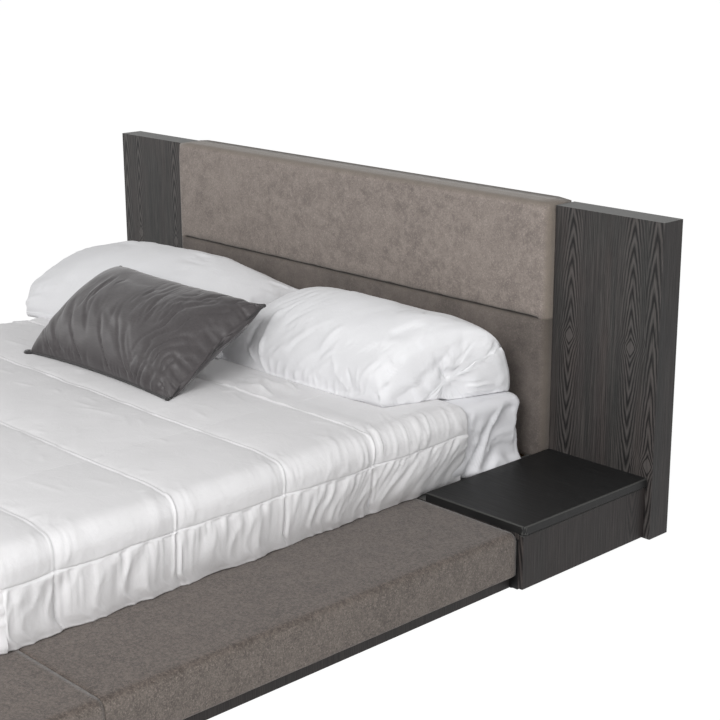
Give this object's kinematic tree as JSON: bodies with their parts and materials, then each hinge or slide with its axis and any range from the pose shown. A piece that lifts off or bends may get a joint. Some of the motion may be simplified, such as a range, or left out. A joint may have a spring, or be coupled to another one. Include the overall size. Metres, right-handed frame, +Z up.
{
  "type": "bed with attached nightstands",
  "caption": "Low platform bed: upholstered headboard between flat veneered wings, padded ledge, low built-in nightstands with sideways drawers, made up with comforter and pillows.",
  "frame": {"origin": "on the floor, under the centre of the whole bed's plan", "axes": "+X to the right for someone who stands at the foot and looks at the headboard, +Y from the foot to the headboard, +Z up"},
  "size_m": [2.822, 2.438, 1.05],
  "materials": {
    "dark_wood": "dark grey stained open-grain veneer, matt",
    "top_wood": "near-black stained veneer, satin",
    "suede": "taupe suede-like velour",
    "plywood": "bare plywood and softwood",
    "steel": "zinc-plated steel",
    "white_cotton": "white woven cotton",
    "satin": "dark grey satin, pleated",
    "black_plastic": "black polypropylene"
  },
  "bodies": {
    "bed": {"headboard_core": "plywood", "headboard_pad": "suede", "wing_left": "dark_wood", "wing_right": "dark_wood", "joining_plates": "steel", "plate_screws": "steel", "rail_frame_left": "plywood", "rail_frame_right": "plywood", "rail_cover_left": "suede", "rail_cover_right": "suede", "foot_rail_frame": "plywood", "foot_rail_cover": "suede", "plinth_left": "dark_wood", "plinth_right": "dark_wood", "plinth_foot": "dark_wood", "head_rail": "plywood", "ledger_left": "plywood", "ledger_right": "plywood", "centre_beam": "plywood", "beam_hangers": "steel", "centre_legs": "plywood", "rail_feet": "black_plastic", "slats": "plywood", "corner_brackets": "steel", "frame_bolts": "steel", "glides": "black_plastic", "mattress": "white_cotton", "comforter": "white_cotton", "pillow_left": "white_cotton", "pillow_right": "white_cotton", "accent_cushion": "satin", "ns_top_left": "top_wood", "ns_subtop_left": "dark_wood", "ns_end_panel_left": "dark_wood", "ns_back_panel_left": "dark_wood", "ns_inner_panel_left": "dark_wood", "ns_floor_left": "dark_wood", "ns_batten_left": "plywood", "runner_outer_left": "steel", "ns_top_right": "top_wood", "ns_subtop_right": "dark_wood", "ns_end_panel_right": "dark_wood", "ns_back_panel_right": "dark_wood", "ns_inner_panel_right": "dark_wood", "ns_floor_right": "dark_wood", "ns_batten_right": "plywood", "runner_outer_right": "steel"},
    "runners_left": {"runner_middle_left": "steel"},
    "drawer_left": {"drawer_front_left": "dark_wood", "drawer_sides_left": "plywood", "drawer_ends_left": "plywood", "drawer_bottom_left": "plywood", "runner_inner_left": "steel"},
    "runners_right": {"runner_middle_right": "steel"},
    "drawer_right": {"drawer_front_right": "dark_wood", "drawer_sides_right": "plywood", "drawer_ends_right": "plywood", "drawer_bottom_right": "plywood", "runner_inner_right": "steel"}
  },
  "joints": [
    {"name": "drawer_left_slide", "type": "slide", "parent": "bed", "child": "drawer_left", "axis": [-1, 0, 0], "range_m": [0, 0.33]},
    {"name": "runner_left_slide", "type": "slide", "parent": "bed", "child": "runners_left", "axis": [-1, 0, 0], "range_m": [0, 0.165]},
    {"name": "drawer_right_slide", "type": "slide", "parent": "bed", "child": "drawer_right", "axis": [1, 0, 0], "range_m": [0, 0.33]},
    {"name": "runner_right_slide", "type": "slide", "parent": "bed", "child": "runners_right", "axis": [1, 0, 0], "range_m": [0, 0.165]}
  ],
  "couplings": [
    {"joint": "runner_left_slide", "follows": "drawer_left_slide", "ratio": 0.5},
    {"joint": "runner_right_slide", "follows": "drawer_right_slide", "ratio": 0.5}
  ]
}
